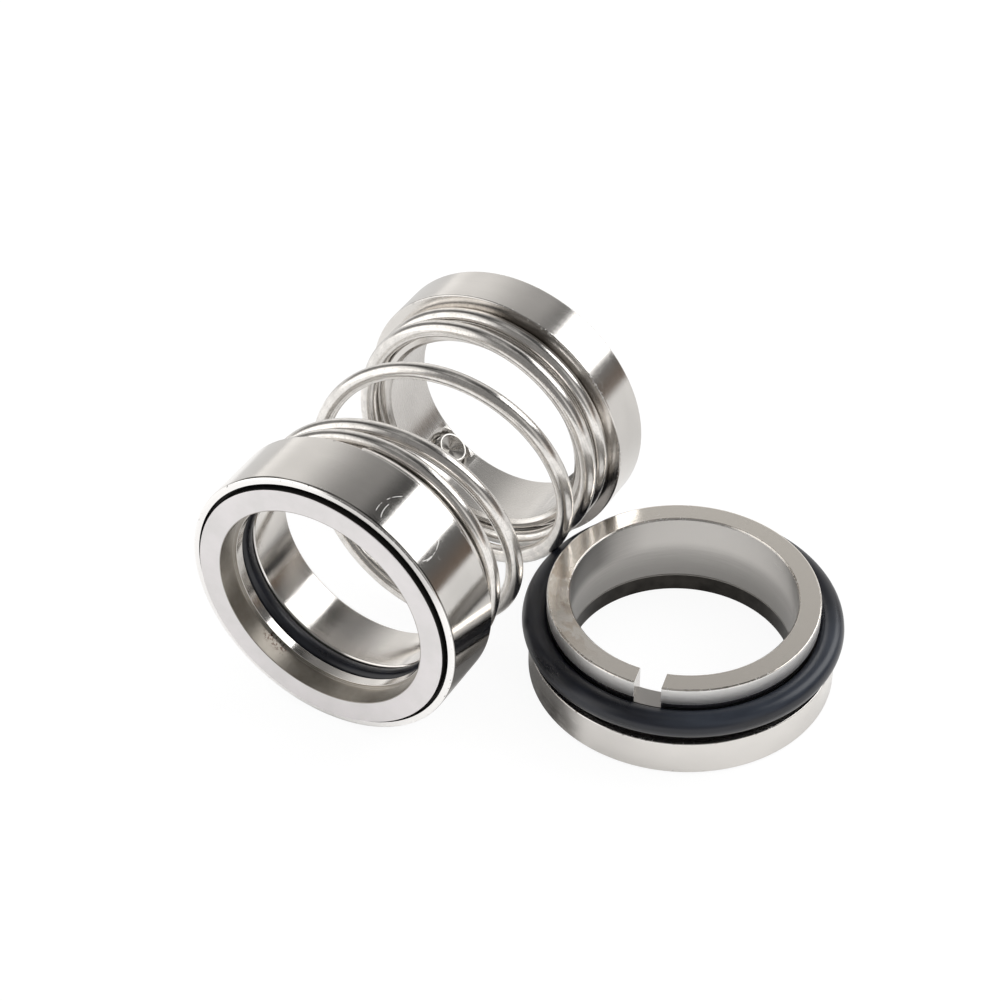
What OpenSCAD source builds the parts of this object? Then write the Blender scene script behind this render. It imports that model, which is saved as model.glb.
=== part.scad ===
// Single-spring mechanical seal: a rotary head lying on its side and its stationary seat beside it.
// All sizes are in millimetres. The head's axis runs along +X, from its lapped face to its collar.
// The seat's axis is vertical, with its lapped face down.

/* [Shaft and bores] */
// Diameter of the pump shaft that the seal is made for
shaft_d = 50; // [49:0.1:50.4]
// Radial clearance between the shaft and the metal rings that ride on it
shaft_clear = 0.1; // [0.05:0.01:0.2]
// Bore of the seat ring and of its hard face
face_bore_d = 52; // [51:0.1:53]

/* [Hard faces] */
// Radial width of each hard face
face_w = 5.5; // [5:0.1:6]
// Radial width of the face ring's rim, outside the rotary hard face
rim_w = 2.5; // [2.2:0.1:3]
// Length of the rotary hard face
face_len = 5.2; // [4.5:0.1:6]
// How far the rotary face stands out of the ring's rim
face_proud = 1; // [0.8:0.1:1.4]
// Length of the stationary hard face
seat_face_len = 4.8; // [4:0.1:6]
// How far the stationary face stands out of the flange
seat_face_proud = 0.6; // [0.3:0.1:1]
// Bevel on the edges of both hard faces
face_bevel = 0.15; // [0.1:0.05:0.3]

/* [Face ring] */
// Outside diameter of the face ring and of the drive collar
ring_od = 68; // [67:0.5:70]
// Length of the face ring's full diameter, behind its rim
ring_len = 16.3; // [15.5:0.1:18]
// Length of the neck that carries the spring's first coils
ring_neck_len = 8.4; // [8:0.1:9.5]
// Width of the open annular gap round the rotary face
rim_gap_w = 0.85; // [0.6:0.05:1]
// Depth of that gap below the rim
rim_gap_depth = 1.6; // [1:0.1:2]
// Length of the land between the rotary face and the O-ring groove
land_len = 2.5; // [2:0.1:3]
// Small bevel on the turned outside edges
edge_bevel = 0.35; // [0.2:0.05:0.5]
// Bevel at the neck end of the bore
neck_bevel = 0.9; // [0.5:0.1:1.2]

/* [Shaft O-ring] */
// Cord thickness of the O-ring in the face ring
shaft_cord_d = 4.2; // [4:0.1:4.6]
// How far that O-ring stands in past the shaft's surface
shaft_squeeze = 0.5; // [0.3:0.1:0.7]
// Side clearance of that O-ring in its groove
groove_side = 0.2; // [0.1:0.05:0.3]
// Bevel on the two edges of that groove, which the O-ring slides over
groove_bevel = 0.3; // [0.25:0.05:0.5]

/* [Spring] */
// Wire thickness
wire_d = 4; // [3.6:0.1:4.2]
// Radial wall of the necks under the spring's end coils
neck_wall = 2.3; // [2:0.1:2.6]
// Radial clearance between a neck and the coils round it
coil_clear = 0.3; // [0.2:0.05:0.4]
// Coils from end to end
coil_turns = 5.5; // [5.4:0.05:5.7]
// Coils from the wire's front end to the start of the wide pitch
front_turns = 1.52; // [1.45:0.01:1.6]
// Coils from the end of the wide pitch to the wire's rear end
rear_turns = 1.49; // [1.4:0.01:1.55]
// Rise of the wire from its first coil to its second
front_step = 5; // [4.9:0.05:5.3]
// Rise of the wire from its last open coil to its end coil
rear_step = 5.7; // [5.4:0.05:5.9]
// Clearance between the wire's ends and the two shoulders
end_clear = 0.1; // [0.05:0.05:0.2]

/* [Drive collar] */
// Distance from the lapped face to the collar's shoulder, with the spring relaxed
shoulder_x = 77; // [75:0.5:80]
// Length of the collar's full diameter
collar_len = 11; // [10:0.5:14]
// Length of the collar's neck
collar_neck_len = 6.8; // [6:0.1:7.5]
// Bevel at the open end of the collar's bore
collar_bevel = 1.4; // [1:0.1:1.5]

/* [Set screws] */
// Thread diameter
screw_d = 8; // [6:0.5:8]
// Length over the cup point
screw_len = 7.8; // [7:0.1:8]
// Outside diameter of the flat ring at the cup point
screw_point_d = 7.4; // [6.8:0.1:7.6]
// Diameter of the cup in that ring
screw_cup_d = 6.4; // [5.8:0.1:6.6]
// Diameter of the countersink round the screw hole, in the collar's bore
screw_sink_d = 12; // [10:0.5:12.5]
// How far the cup point stands into the collar's bore
screw_reach = 1.6; // [1.2:0.1:2]
// Distance of the set screws from the collar's shoulder
screw_back = 5; // [4.8:0.1:6]
// Radial running clearance of the thread in its hole
screw_clear = 0.06; // [0.04:0.01:0.1]
// Width across the flats of the hexagon socket
socket_af = 4; // [3:0.5:4]
// Depth of the hexagon socket
socket_depth = 3.5; // [2.5:0.1:4]
// Direction of the set screw on the side away from the seat, in degrees about the head's axis
far_screw_deg = 232; // [225:1:235]
// Direction of the set screw on the seat's side
near_screw_deg = 320; // [315:1:325]

/* [Seat] */
// Outside diameter of the seat's sleeve
sleeve_od = 62.5; // [61.5:0.5:63.5]
// Outside diameter of the seat's flange
flange_od = 70.6; // [70:0.2:72]
// Height of the flange's top above the lapped face
flange_top = 9.6; // [9:0.1:10.5]
// Height of the seat from its lapped face to the end of its sleeve
seat_len = 22.2; // [21.5:0.1:24]
// Cord thickness of the O-ring round the sleeve
seat_cord_d = 6; // [5.5:0.1:6.2]
// Depth of that O-ring's groove in the sleeve
seat_groove_depth = 0.4; // [0.2:0.1:0.6]
// Side clearance of that O-ring in its groove
seat_groove_side = 0.1; // [0.05:0.05:0.2]
// Height of the groove's lower wall above the flange
seat_groove_rise = 1.9; // [1.5:0.1:2.2]
// Width of the notch that the gland's pin enters
notch_w = 6.2; // [5:0.1:8]
// Depth of that notch from the end of the sleeve
notch_depth = 6.2; // [5.5:0.1:7]
// Direction of the notch, in degrees about the seat's axis from +X
notch_deg = 192; // [180:0.1:200]
// Bevel on the inner edge of the sleeve's end
sleeve_bevel = 0.5; // [0.3:0.1:0.8]

/* [Layout] */
// Distance along the head's axis from its lapped face to the seat's axis
seat_dx = 56; // [54:0.5:60]
// Clearance between the seat's O-ring and the spring beside it
seat_stand_off = 0.1; // [0.1:0.1:1]

/* [Hidden] */

// Fit of the hard faces in their pockets, and of each O-ring on its groove floor
shrink_gap = 0.02;
cord_gap = 0.05;

// Half the cone angle of the cup in a set screw's point
cup_half_deg = 60;

// How far a cut runs past the surface it opens
cut_over = 1;

// Facets round the turned rings, the rubber cord's section and the screw holes
ring_sides = 180;
cord_sides = 48;
hole_sides = 64;

// Radii shared by the rings of the head
ring_r = ring_od / 2;
bore_r = shaft_d / 2 + shaft_clear;
neck_r = bore_r + neck_wall;
face_out_r = ring_r - rim_w;
face_in_r = face_out_r - face_w;
coil_r = neck_r + coil_clear + wire_d / 2;
spring_out_r = coil_r + wire_d / 2;

// Stations along the head's axis, from the lapped face
rim_x = face_proud;
groove_x0 = face_len + land_len;
groove_x1 = groove_x0 + shaft_cord_d + 2 * groove_side;
ring_shoulder_x = rim_x + ring_len;
ring_end_x = ring_shoulder_x + ring_neck_len;
collar_neck_x = shoulder_x - collar_neck_len;
collar_end_x = shoulder_x + collar_len;
screw_x = shoulder_x + screw_back;

// The shaft O-ring and its groove
shaft_cord_r = shaft_d / 2 - shaft_squeeze + shaft_cord_d / 2;
shaft_groove_r = shaft_cord_r + shaft_cord_d / 2 + cord_gap;

// The seat's hard face, its O-ring and that O-ring's groove
seat_bore_r = face_bore_d / 2;
seat_face_r = seat_bore_r + face_w;
sleeve_r = sleeve_od / 2;
flange_r = flange_od / 2;
seat_groove_r = sleeve_r - seat_groove_depth;
seat_groove_z0 = flange_top + seat_groove_rise;
seat_groove_z1 = seat_groove_z0 + seat_cord_d + 2 * seat_groove_side;
seat_cord_r = seat_groove_r + cord_gap + seat_cord_d / 2;
seat_cord_z = (seat_groove_z0 + seat_groove_z1) / 2;
seat_out_r = seat_cord_r + seat_cord_d / 2;

// The seat stands as near the lying head as its O-ring allows
coil_half_w = sqrt(pow(spring_out_r, 2) - pow(ring_r - seat_cord_z, 2));
seat_dy = coil_half_w + seat_out_r + seat_stand_off;

// The origin is on the floor, under the middle of head and seat together
span_x0 = min(0, seat_dx - seat_out_r);
span_x1 = max(collar_end_x, seat_dx + seat_out_r);
head_x = -(span_x0 + span_x1) / 2;
head_y = (seat_dy + seat_out_r - ring_r) / 2;

// Places a shape that was drawn about +Z on the head's axis
module on_head_axis() {
    translate([head_x, head_y, ring_r])
        rotate([0, 90, 0])
            children();
}

// Places a shape that was drawn about +Z on the seat's axis
module on_seat_axis() {
    translate([head_x + seat_dx, head_y - seat_dy, 0])
        children();
}

// A ring turned from a profile of [radius, station] points
module turned(profile) {
    rotate_extrude($fn = ring_sides)
        polygon(profile);
}

// A hard face with its lapped side down: inner and outer radius, and length
module hard_face(in_r, out_r, length) {
    turned([
        [in_r + face_bevel, 0],
        [out_r - face_bevel, 0],
        [out_r, face_bevel],
        [out_r, length],
        [in_r, length],
        [in_r, face_bevel]
    ]);
}

module rotary_face() {
    color("silver")
        on_head_axis()
            hard_face(face_in_r, face_out_r, face_len);
}

// The polished ring that holds the rotary face, the shaft O-ring and the spring's first coils
module face_ring() {
    pocket_r = face_out_r + shrink_gap;
    gap_r = face_out_r + rim_gap_w;
    color("lightgray")
        on_head_axis()
            turned([
                [gap_r, rim_x],
                [ring_r - edge_bevel, rim_x],
                [ring_r, rim_x + edge_bevel],
                [ring_r, ring_shoulder_x - edge_bevel],
                [ring_r - edge_bevel, ring_shoulder_x],
                [neck_r, ring_shoulder_x],
                [neck_r, ring_end_x - edge_bevel],
                [neck_r - edge_bevel, ring_end_x],
                [bore_r + neck_bevel, ring_end_x],
                [bore_r, ring_end_x - neck_bevel],
                [bore_r, groove_x1 + groove_bevel],
                [bore_r + groove_bevel, groove_x1],
                [shaft_groove_r, groove_x1],
                [shaft_groove_r, groove_x0],
                [bore_r + groove_bevel, groove_x0],
                [bore_r, groove_x0 - groove_bevel],
                [bore_r, face_len],
                [pocket_r, face_len],
                [pocket_r, rim_x + rim_gap_depth],
                [gap_r, rim_x + rim_gap_depth]
            ]);
}

// A torus of rubber cord
module cord_ring(mean_r, cord_d, z) {
    translate([0, 0, z])
        rotate_extrude($fn = ring_sides)
            translate([mean_r, 0])
                circle(d = cord_d, $fn = cord_sides);
}

module shaft_o_ring() {
    color("midnightblue")
        on_head_axis()
            cord_ring(shaft_cord_r, shaft_cord_d, (groove_x0 + groove_x1) / 2);
}

// A step that eases in and out over one unit, and the area under it
function eased(t) = t <= 0 ? 0 : t >= 1 ? 1 : t * t * (3 - 2 * t);
function eased_area(t) = t <= 0 ? 0 : t >= 1 ? t - 0.5 : pow(t, 3) - pow(t, 4) / 2;

// The wire's station along the axis after a number of turns. Both end coils lie flat on their
// shoulders, each closes up to its neighbour, and the wide pitch between them starts and ends softly.
ease_turns = 0.6;
front_step_at = [0.6, 1.1];
rear_step_at = [coil_turns - 1.15, coil_turns - 0.5];
wire_x0 = ring_shoulder_x + end_clear + wire_d / 2;
wire_x1 = shoulder_x - end_clear - wire_d / 2;
open_rise = wire_x1 - wire_x0 - front_step - rear_step;
open_turns = coil_turns - front_turns - rear_turns;
open_pitch = open_rise / (open_turns - ease_turns);
function stepped(u, span) = eased((u - span[0]) / (span[1] - span[0]));
function opened(u) =
    let (t = (u - front_turns) / ease_turns)
    let (e = (u - front_turns - open_turns + ease_turns) / ease_turns)
    ease_turns * (eased_area(t) - eased_area(e));
function wire_x(u) =
    wire_x0
    + front_step * stepped(u, front_step_at)
    + open_pitch * opened(u)
    + rear_step * stepped(u, rear_step_at);

// Points of the wire's section at each step along the coil
wire_sides = 12;
steps_per_turn = 60;
wire_steps = round(coil_turns * steps_per_turn);
function wire_angle(u) = 180 - 360 * u;
function wire_point(u, k) =
    let (a = wire_angle(u))
    let (s = 360 * k / wire_sides)
    let (r = coil_r + wire_d / 2 * cos(s))
    [r * cos(a), -r * sin(a), wire_x(u) + wire_d / 2 * sin(s)];

module spring() {
    points = [
        for (i = [0 : wire_steps])
            for (k = [0 : wire_sides - 1])
                wire_point(i / steps_per_turn, k)
    ];
    tube = [
        for (i = [0 : wire_steps - 1])
            for (k = [0 : wire_sides - 1])
                let (a = i * wire_sides)
                let (n = (k + 1) % wire_sides)
                [a + k, a + n, a + wire_sides + n, a + wire_sides + k]
    ];
    first_cap = [for (k = [wire_sides - 1 : -1 : 0]) k];
    last_cap = [for (k = [0 : wire_sides - 1]) wire_steps * wire_sides + k];
    color("gainsboro")
        on_head_axis()
            polyhedron(points = points, faces = concat([first_cap], tube, [last_cap]));
}

// Places a shape drawn along +Z, from the axis outwards, at a screw's direction in the collar
module at_screw(direction) {
    translate([0, 0, screw_x])
        rotate([0, 0, 90 - direction])
            rotate([0, -90, 0])
                children();
}

// The hole for a set screw, with a 45 degree countersink where it opens into the bore
module screw_hole() {
    hole_r = screw_d / 2 + screw_clear;
    sink_r = screw_sink_d / 2;
    sink_z = sqrt(bore_r * bore_r - sink_r * sink_r);
    translate([0, 0, bore_r / 2])
        cylinder(r = hole_r, h = ring_r, $fn = hole_sides);
    translate([0, 0, sink_z - cut_over])
        cylinder(r1 = sink_r + cut_over, r2 = hole_r, h = sink_r + cut_over - hole_r, $fn = hole_sides);
}

module drive_collar() {
    color("lightgray")
        on_head_axis()
            difference() {
                turned([
                    [bore_r + neck_bevel, collar_neck_x],
                    [neck_r - edge_bevel, collar_neck_x],
                    [neck_r, collar_neck_x + edge_bevel],
                    [neck_r, shoulder_x],
                    [ring_r - edge_bevel, shoulder_x],
                    [ring_r, shoulder_x + edge_bevel],
                    [ring_r, collar_end_x - edge_bevel],
                    [ring_r - edge_bevel, collar_end_x],
                    [bore_r + collar_bevel, collar_end_x],
                    [bore_r, collar_end_x - collar_bevel],
                    [bore_r, collar_neck_x + neck_bevel]
                ]);
                for (direction = [far_screw_deg, near_screw_deg])
                    at_screw(direction)
                        screw_hole();
            }
}

// A socket set screw with a cup point at its inner end
module set_screw(direction) {
    tip_z = bore_r - screw_reach;
    point_r = screw_point_d / 2;
    cup_r = screw_cup_d / 2;
    cup_z = cup_r / tan(cup_half_deg);
    taper = screw_d / 2 - point_r;
    color("whitesmoke")
        on_head_axis()
            at_screw(direction)
                translate([0, 0, tip_z])
                    difference() {
                        turned([
                            [0, cup_z],
                            [cup_r, 0],
                            [point_r, 0],
                            [screw_d / 2, taper],
                            [screw_d / 2, screw_len - taper / 2],
                            [screw_d / 2 - taper / 2, screw_len],
                            [0, screw_len]
                        ]);
                        translate([0, 0, screw_len - socket_depth])
                            cylinder(d = socket_af / cos(30), h = socket_depth + cut_over, $fn = 6);
                    }
}

module set_screw_far() {
    set_screw(far_screw_deg);
}

module set_screw_near() {
    set_screw(near_screw_deg);
}

// The seat's metal ring: flange, sleeve, O-ring groove, notch and the pocket for its hard face
module seat_ring() {
    pocket_r = seat_face_r + shrink_gap;
    color("lightgray")
        on_seat_axis()
            difference() {
                turned([
                    [seat_bore_r, seat_face_len],
                    [pocket_r, seat_face_len],
                    [pocket_r, seat_face_proud],
                    [flange_r - edge_bevel, seat_face_proud],
                    [flange_r, seat_face_proud + edge_bevel],
                    [flange_r, flange_top - edge_bevel],
                    [flange_r - edge_bevel, flange_top],
                    [sleeve_r, flange_top],
                    [sleeve_r, seat_groove_z0],
                    [seat_groove_r, seat_groove_z0],
                    [seat_groove_r, seat_groove_z1],
                    [sleeve_r, seat_groove_z1],
                    [sleeve_r, seat_len - edge_bevel],
                    [sleeve_r - edge_bevel, seat_len],
                    [seat_bore_r + sleeve_bevel, seat_len],
                    [seat_bore_r, seat_len - sleeve_bevel]
                ]);
                rotate([0, 0, notch_deg])
                    translate([seat_bore_r / 2, -notch_w / 2, seat_len - notch_depth])
                        cube([sleeve_r, notch_w, notch_depth + cut_over]);
            }
}

module stationary_face() {
    color("dimgray")
        on_seat_axis()
            hard_face(seat_bore_r, seat_face_r, seat_face_len);
}

module seat_o_ring() {
    color("midnightblue")
        on_seat_axis()
            cord_ring(seat_cord_r, seat_cord_d, seat_cord_z);
}

face_ring();
rotary_face();
shaft_o_ring();
spring();
drive_collar();
set_screw_far();
set_screw_near();
seat_ring();
stationary_face();
seat_o_ring();
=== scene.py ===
"""A single-spring mechanical seal: the rotary head on its side, and its seat standing beside it."""
import math

import bmesh
import bpy
from mathutils import Matrix, Vector


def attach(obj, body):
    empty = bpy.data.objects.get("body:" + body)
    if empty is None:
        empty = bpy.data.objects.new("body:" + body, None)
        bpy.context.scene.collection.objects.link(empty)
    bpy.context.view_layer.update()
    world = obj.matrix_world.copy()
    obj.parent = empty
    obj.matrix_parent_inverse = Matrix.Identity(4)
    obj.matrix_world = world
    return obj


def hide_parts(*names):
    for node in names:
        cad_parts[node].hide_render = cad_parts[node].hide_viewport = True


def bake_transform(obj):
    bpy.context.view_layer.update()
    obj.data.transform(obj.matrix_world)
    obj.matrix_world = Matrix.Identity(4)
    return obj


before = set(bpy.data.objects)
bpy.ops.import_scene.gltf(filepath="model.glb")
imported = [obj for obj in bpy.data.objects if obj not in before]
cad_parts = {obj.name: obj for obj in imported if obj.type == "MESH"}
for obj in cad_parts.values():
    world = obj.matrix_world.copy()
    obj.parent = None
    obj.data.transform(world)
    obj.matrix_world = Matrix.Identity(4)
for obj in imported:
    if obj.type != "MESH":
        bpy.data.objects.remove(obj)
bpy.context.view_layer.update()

MM = 0.001

# The layout, in millimetres: the head's axis runs along +X from its lapped face, the seat's stands up
HEAD = Vector((-46.45, 32.48525, 34.0))
SEAT = Vector((9.55, -29.58525, 0.0))

# Rings of the head: radii, and stations along the axis from the lapped face
RING_R = 34.0
BORE_R = 25.1
NECK_R = 27.4
FACE_IN_R = 26.0
FACE_OUT_R = 31.5
GAP_R = 32.35
POCKET_R = 31.52
FACE_LEN = 5.2
RIM_X = 1.0
GAP_DEPTH = 1.6
GROOVE_X = (7.7, 12.3)
GROOVE_R = 28.75
SHOULDER_X = 17.3
NECK_END_X = 25.7
COLLAR_NECK_X = 70.2
COLLAR_SHOULDER_X = 77.0
COLLAR_END_X = 88.0
SCREW_X = 82.0
SCREW_MIDDLE = HEAD + Vector((SCREW_X, 0, 0))
SCREW_DEGREES = {"far": 232, "near": 320}

# The set screws and their holes, which are countersunk in the bore. The cup point is given as
# (radius, height) from its middle outwards
SCREW_TIP_IN = 1.6
SCREW_LEN = 7.8
THREAD_R = 3.98
THREAD_DEPTH = 0.62
THREAD_PITCH = 1.25
SOCKET_FLATS = 4.0
SOCKET_DEPTH = 3.4
CUP_POINT = ((0.01, 1.85), (1.4, 1.04), (3.12, 0.06), (3.24, 0.0), (3.6, 0.0), (3.72, 0.1))
HOLE_R = 4.06
SINK_R = 6.0
HOLE_CHAMFER = 0.35

# The O-rings: middle of the cord, its station, and its thickness
SHAFT_CORD = (26.6, 10.0, 4.2)
SEAT_CORD = (33.9, 14.6, 6.0)

# Their parting line, and how far the cord stays inside the CAD's
FLASH_HEIGHT = 0.025
FLASH_WIDTH = 0.05
CORD_INSET = 0.03

# The seat
SEAT_BORE_R = 26.0
SLEEVE_R = 31.25
FLANGE_R = 35.3
FLANGE_TOP = 9.6
SEAT_H = 22.2
SEAT_FACE_LEN = 4.8
SEAT_FACE_PROUD = 0.6
SEAT_GROOVE_R = 30.85
SEAT_GROOVE_Z = (11.5, 17.7)
NOTCH_W = 6.2
NOTCH_DEPTH = 6.2
NOTCH_DEGREES = 192.0

# The spring. Its sawn ends are given as (turns from the end, radius)
WIRE_R = 2.0
COIL_R = 29.7
COIL_TURNS = 5.5
COIL_GAP = 0.1
WIRE_ENDS = ((0.0, 1.78), (0.0006, 1.9), (0.0016, 2.0))
WIRE_NUDGE = 0.0005

# Steps of the meshes: round a turned ring, round a cord and along it, round the wire and along one
# of its turns, round a screw's hole, and round a screw and up its thread
RING_STEPS = 360
CORD_STEPS = (64, 288)
WIRE_STEPS = (28, 132)
HOLE_STEPS = 96
SCREW_STEPS = (72, 84)
SHARP_DEGREES = 35

TO_DEGREES = 180 / math.pi


def head_outward(turn):
    """The direction out from the head's axis: turn is 0 towards the seat and 90 degrees up."""
    return Vector((0, -math.cos(turn), math.sin(turn)))


def head_place(radius, turn, station):
    """A point of the head: turn is the angle about its axis, 0 towards the seat and 90 degrees up."""
    return (HEAD + Vector((station, -radius * math.cos(turn), radius * math.sin(turn)))) * MM


def seat_place(radius, turn, station):
    """A point of the seat: turn is the angle about its upright axis, from +X."""
    return (SEAT + Vector((radius * math.cos(turn), radius * math.sin(turn), station))) * MM


def piece_from(name, verts, faces, sharp_degrees=SHARP_DEGREES):
    mesh = bpy.data.meshes.new(name)
    mesh.from_pydata([tuple(v) for v in verts], [], faces)
    made = bmesh.new()
    made.from_mesh(mesh)
    bmesh.ops.remove_doubles(made, verts=made.verts, dist=1e-7)
    bmesh.ops.recalc_face_normals(made, faces=made.faces)
    made.to_mesh(mesh)
    made.free()
    piece = bpy.data.objects.new(name, mesh)
    bpy.context.scene.collection.objects.link(piece)
    mesh.shade_smooth()
    mesh.set_sharp_from_angle(angle=math.radians(sharp_degrees))
    return piece


def circle(middle, radius, side, other, steps):
    """Points round a circle, in metres, from a middle and radius in millimetres."""
    points = []
    for k in range(steps):
        s = 2 * math.pi * k / steps
        points.append((middle + side * (radius * math.cos(s)) + other * (radius * math.sin(s))) * MM)
    return points


def skin_faces(rows, around, ring=False):
    """Joins rows of points into a skin: closed to a ring, or open with a flat cap at each end."""
    faces = []
    for i in range(rows if ring else rows - 1):
        a, b = i * around, (i + 1) % rows * around
        for k in range(around):
            n = (k + 1) % around
            faces.append((a + k, a + n, b + n, b + k))
    if not ring:
        faces.append(tuple(reversed(range(around))))
        faces.append(tuple((rows - 1) * around + k for k in range(around)))
    return faces


def eased_corners(outline, arc_steps=5):
    """A closed outline of (radius, station, rounding) with each corner turned to a small arc."""
    points = []
    count = len(outline)
    for i, (r, s, rounding) in enumerate(outline):
        here = Vector((r, s))
        before = Vector(outline[i - 1][:2]) - here
        after = Vector(outline[(i + 1) % count][:2]) - here
        if rounding <= 0:
            points.append(here)
            continue
        into, out = before.normalized(), after.normalized()
        half = into.angle(out) / 2
        reach = min(rounding / math.tan(half), before.length * 0.42, after.length * 0.42)
        radius = reach * math.tan(half)
        centre = here + (into + out).normalized() * (radius / math.sin(half))
        start, end = here + into * reach, here + out * reach
        points.append(start + into * min(0.03, before.length * 0.05))
        first, last = start - centre, end - centre
        swing = first.angle_signed(last)
        for k in range(arc_steps + 1):
            points.append(centre + Matrix.Rotation(-swing * k / arc_steps, 2) @ first)
        points.append(end + out * min(0.03, after.length * 0.05))
    return points


def turned(name, outline, place):
    """A ring turned from a closed outline."""
    points = eased_corners(outline)
    turns = [2 * math.pi * i / RING_STEPS for i in range(RING_STEPS)]
    verts = [place(p[0], turn, p[1]) for turn in turns for p in points]
    return piece_from(name, verts, skin_faces(RING_STEPS, len(points), ring=True))


def cut_away(piece, cutter):
    """Removes the cutter's shape from a piece, and the cutter itself."""
    cut = piece.modifiers.new("cut", "BOOLEAN")
    cut.operation = "DIFFERENCE"
    cut.solver = "EXACT"
    cut.object = cutter
    seen = bpy.context.evaluated_depsgraph_get()
    mesh = bpy.data.meshes.new_from_object(piece.evaluated_get(seen))
    piece.modifiers.clear()
    piece.data = mesh
    bpy.data.objects.remove(cutter)
    mesh.shade_smooth()
    mesh.set_sharp_from_angle(angle=math.radians(SHARP_DEGREES))


def make_face_ring():
    return turned("face_ring_turned", [
        (GAP_R, RIM_X, 0.1),
        (RING_R, RIM_X, 0.7),
        (RING_R, SHOULDER_X, 0.3),
        (NECK_R, SHOULDER_X, 0.3),
        (NECK_R, NECK_END_X, 0.35),
        (BORE_R + 0.9, NECK_END_X, 0.15),
        (BORE_R, NECK_END_X - 0.9, 0.2),
        (BORE_R, GROOVE_X[1] + 0.3, 0.1),
        (BORE_R + 0.3, GROOVE_X[1], 0.1),
        (GROOVE_R, GROOVE_X[1], 0.2),
        (GROOVE_R, GROOVE_X[0], 0.2),
        (BORE_R + 0.3, GROOVE_X[0], 0.1),
        (BORE_R, GROOVE_X[0] - 0.3, 0.1),
        (BORE_R, FACE_LEN, 0.12),
        (POCKET_R, FACE_LEN, 0),
        (POCKET_R, RIM_X + GAP_DEPTH, 0.05),
        (GAP_R, RIM_X + GAP_DEPTH, 0.1),
    ], head_place)


def make_rotary_face():
    return turned("rotary_face_lapped", [
        (FACE_IN_R, 0, 0.14),
        (FACE_OUT_R, 0, 0.14),
        (FACE_OUT_R, FACE_LEN, 0),
        (FACE_IN_R, FACE_LEN, 0.1),
    ], head_place)


def make_stationary_face():
    return turned("stationary_face_lapped", [
        (FACE_IN_R, 0, 0.14),
        (FACE_OUT_R, 0, 0.14),
        (FACE_OUT_R, SEAT_FACE_LEN, 0),
        (FACE_IN_R, SEAT_FACE_LEN, 0.35),
    ], seat_place)


def cord_ring(name, cord, place):
    """A moulded O-ring, with the fine parting line of its mould round the outside and inside."""
    middle, station, thickness = cord
    around, steps = CORD_STEPS
    verts = []
    for i in range(steps):
        turn = 2 * math.pi * i / steps
        for k in range(around):
            s = 2 * math.pi * k / around
            flash = FLASH_HEIGHT * max(0.0, 1 - (math.sin(s) / FLASH_WIDTH) ** 2)
            r = thickness / 2 + flash - CORD_INSET
            verts.append(place(middle + r * math.cos(s), turn, station + r * math.sin(s)))
    return piece_from(name, verts, skin_faces(steps, around, ring=True), sharp_degrees=80)


def eased(t):
    t = min(max(t, 0.0), 1.0)
    return t * t * (3 - 2 * t)


def eased_area(t):
    return 0.0 if t <= 0 else t - 0.5 if t >= 1 else t ** 3 - t ** 4 / 2


def wire_station(u):
    """The spring wire's station after u turns: flat end coils, closed neighbours, open middle."""
    start = SHOULDER_X + COIL_GAP + WIRE_R
    end = COLLAR_SHOULDER_X - COIL_GAP - WIRE_R
    front_step, front_from, front_turns = 5.0, 0.6, 0.5
    rear_step, rear_from_end, rear_turns = 5.7, 1.15, 0.65
    open_from, open_to, ease_turns = 1.52, COIL_TURNS - 1.49, 0.6
    pitch = (end - start - front_step - rear_step) / (open_to - open_from - ease_turns)
    opened = ease_turns * (
        eased_area((u - open_from) / ease_turns) - eased_area((u - open_to + ease_turns) / ease_turns)
    )
    return (
        start
        + front_step * eased((u - front_from) / front_turns)
        + pitch * opened
        + rear_step * eased((u - COIL_TURNS + rear_from_end) / rear_turns)
    )


def wire_turn(u):
    return math.radians(90 - 360 * u)


def wire_point(u):
    return head_place(COIL_R, wire_turn(u), wire_station(u)) / MM


def make_spring():
    """One length of wire on its helix, with sawn ends broken at their edges."""
    around, per_turn = WIRE_STEPS
    stations = list(WIRE_ENDS)
    stations += [(i / per_turn, WIRE_R) for i in range(1, round(COIL_TURNS * per_turn))]
    stations += [(COIL_TURNS - u, r) for u, r in reversed(WIRE_ENDS)]
    verts = []
    for u, r in stations:
        tangent = (wire_point(u + WIRE_NUDGE) - wire_point(u - WIRE_NUDGE)).normalized()
        outward = head_outward(wire_turn(u))
        outward = (outward - tangent * outward.dot(tangent)).normalized()
        verts += circle(wire_point(u), r, outward, tangent.cross(outward), around)
    piece = piece_from("spring_wound", verts, skin_faces(len(stations), around), sharp_degrees=40)
    # The wire's own coordinates, for its drawing marks: turns along it, and the angle round it
    layer = piece.data.uv_layers.new(name="wire")
    for loop in piece.data.loops:
        row, k = divmod(loop.vertex_index, around)
        layer.data[loop.index].uv = (stations[row][0], k / around)
    return piece


def screw_frame(degrees):
    """How a set screw lies: its axis outwards, and two directions across it."""
    outward, side = head_outward(math.radians(degrees)), Vector((1, 0, 0))
    return outward, side, outward.cross(side)


def make_screw_cutter(degrees):
    """The threaded hole for a set screw, countersunk where it opens into the bore."""
    outward, side, other = screw_frame(degrees)
    mouth = math.sqrt(BORE_R ** 2 - SINK_R ** 2)
    rows = [
        (SINK_R + 1, mouth - 1),
        (HOLE_R, mouth + SINK_R - HOLE_R),
        (HOLE_R, RING_R - HOLE_CHAMFER),
        (HOLE_R + HOLE_CHAMFER + 1, RING_R + 1),
    ]
    verts = []
    for radius, reach in rows:
        verts += circle(SCREW_MIDDLE + outward * reach, radius, side, other, HOLE_STEPS)
    return piece_from("cutter", verts, skin_faces(len(rows), HOLE_STEPS))


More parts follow.
